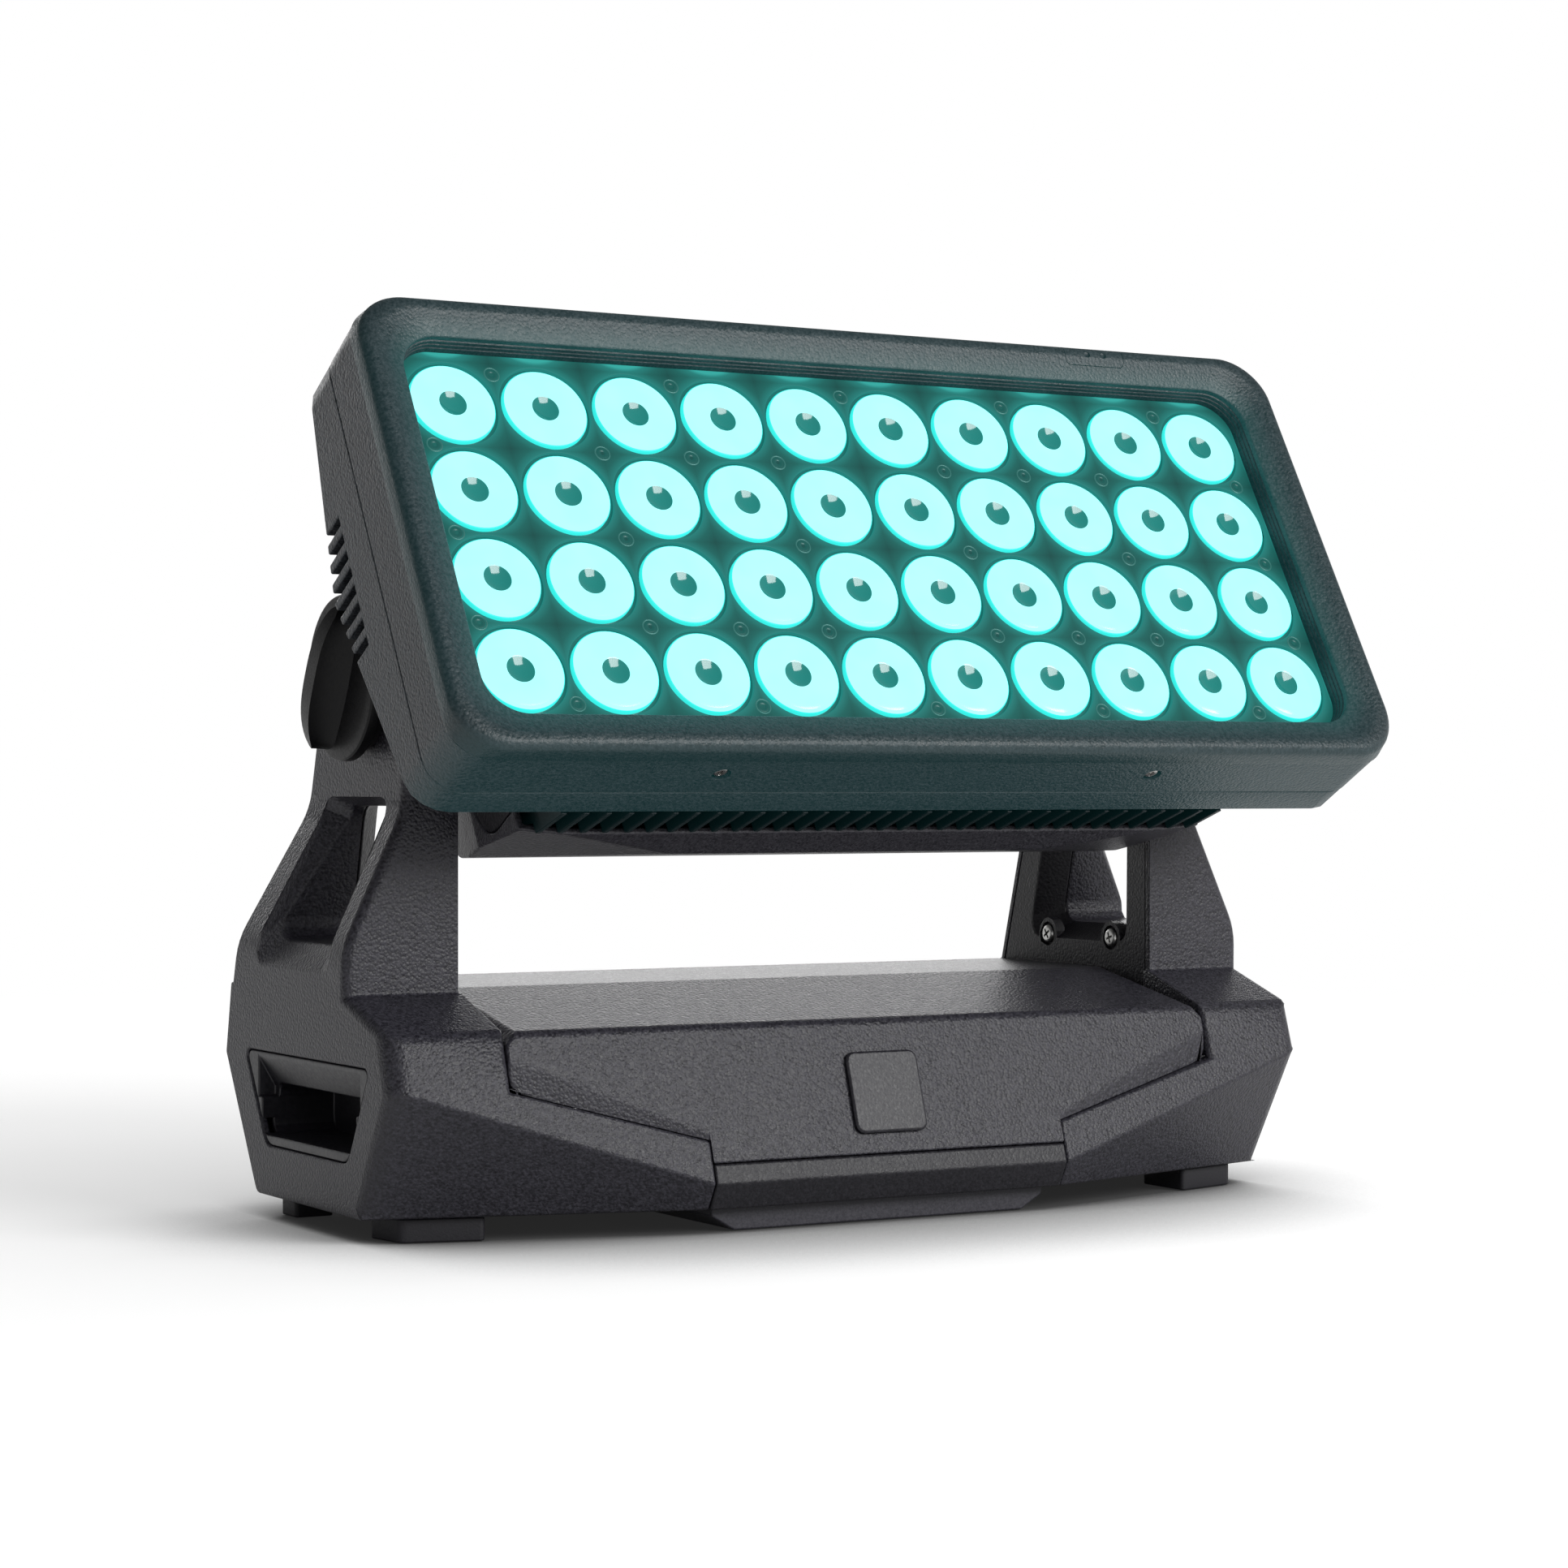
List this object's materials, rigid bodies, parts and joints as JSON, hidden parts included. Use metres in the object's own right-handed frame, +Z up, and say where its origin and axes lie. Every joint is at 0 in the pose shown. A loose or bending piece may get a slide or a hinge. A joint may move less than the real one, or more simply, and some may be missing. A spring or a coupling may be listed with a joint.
{
  "type": "led wash light",
  "caption": "Stage wash light: wide rectangular head with a grid of collimated lenses, tilting between two windowed arms on a faceted floor base with end handles.",
  "frame": {"origin": "on the floor at the centre of the bracket plate under the base, straight below the tilt axis", "axes": "+X along the tilt axis to the right-hand arm seen from the back, +Y to the rear panel, +Z up; the lenses face -Y and up"},
  "size_m": [0.465, 0.2643, 0.39],
  "materials": {
    "grained_plastic": "charcoal, moulded leather grain",
    "smooth_plastic": "charcoal, smooth satin",
    "mask_plastic": "black, satin",
    "lens_acrylic": "clear acrylic lit cyan from behind",
    "board_white": "white solder mask",
    "heat_sink_aluminium": "black anodised casting",
    "coated_steel": "charcoal powder coat, grained",
    "zinc_steel": "bright zinc",
    "rubber": "black, matt",
    "knob_plastic": "black, fine grain",
    "display_dark": "dark gloss",
    "power_case": "potted black case",
    "circuit_board": "green solder mask"
  },
  "bodies": {
    "base": {"base_tray": "coated_steel", "centre_cover": "grained_plastic", "badge_plate": "smooth_plastic", "side_cover_left": "grained_plastic", "side_cover_right": "grained_plastic", "arm_plate_left": "coated_steel", "arm_plate_right": "coated_steel", "arm_screw_left_1": "zinc_steel", "arm_screw_left_2": "zinc_steel", "arm_screw_right_1": "zinc_steel", "arm_screw_right_2": "zinc_steel", "handle_cup_left": "smooth_plastic", "handle_cup_right": "smooth_plastic", "foot_front_left": "rubber", "foot_front_right": "rubber", "foot_rear_left": "rubber", "foot_rear_right": "rubber", "centre_skid": "smooth_plastic", "rear_panel": "coated_steel", "display_window": "display_dark", "power_inlet": "knob_plastic", "power_outlet": "knob_plastic", "data_inlet": "knob_plastic", "data_outlet": "knob_plastic", "power_supply": "power_case", "control_board": "circuit_board", "friction_washer_left": "rubber", "friction_washer_right": "rubber"},
    "head": {"front_bezel": "grained_plastic", "sensor_cover": "smooth_plastic", "mid_housing": "smooth_plastic", "mask_plate": "mask_plastic", "lens_row_1": "lens_acrylic", "lens_row_2": "lens_acrylic", "lens_row_3": "lens_acrylic", "lens_row_4": "lens_acrylic", "led_board": "board_white", "rear_shell": "grained_plastic", "heat_sink": "heat_sink_aluminium", "head_side_plate_left": "coated_steel", "head_side_plate_right": "coated_steel", "rear_cover": "grained_plastic", "tilt_stud_left": "zinc_steel", "tilt_stud_right": "zinc_steel"},
    "knob_right": {"lock_knob_right": "knob_plastic"},
    "knob_left": {"lock_knob_left": "knob_plastic"},
    "key_1": {"menu_button_1": "knob_plastic"},
    "key_2": {"menu_button_2": "knob_plastic"},
    "key_3": {"menu_button_3": "knob_plastic"},
    "key_4": {"menu_button_4": "knob_plastic"}
  },
  "joints": [
    {"name": "head_tilt", "type": "hinge", "parent": "base", "child": "head", "pos_m": [0, 0, 0.2342], "axis": [-1, 0, 0], "range_deg": [-40, 135]},
    {"name": "knob_turn_right", "type": "hinge", "parent": "base", "child": "knob_right", "pos_m": [0.2035, 0, 0.2342], "axis": [1, 0, 0], "range_deg": [-180, 180]},
    {"name": "knob_turn_left", "type": "hinge", "parent": "base", "child": "knob_left", "pos_m": [-0.2035, 0, 0.2342], "axis": [-1, 0, 0], "range_deg": [-180, 180]},
    {"name": "key_press_1", "type": "slide", "parent": "base", "child": "key_1", "axis": [0, -0.981, -0.1942], "range_m": [0, 0.0008], "stiffness_N_per_m": 1500},
    {"name": "key_press_2", "type": "slide", "parent": "base", "child": "key_2", "axis": [0, -0.981, -0.1942], "range_m": [0, 0.0008], "stiffness_N_per_m": 1500},
    {"name": "key_press_3", "type": "slide", "parent": "base", "child": "key_3", "axis": [0, -0.981, -0.1942], "range_m": [0, 0.0008], "stiffness_N_per_m": 1500},
    {"name": "key_press_4", "type": "slide", "parent": "base", "child": "key_4", "axis": [0, -0.981, -0.1942], "range_m": [0, 0.0008], "stiffness_N_per_m": 1500}
  ]
}
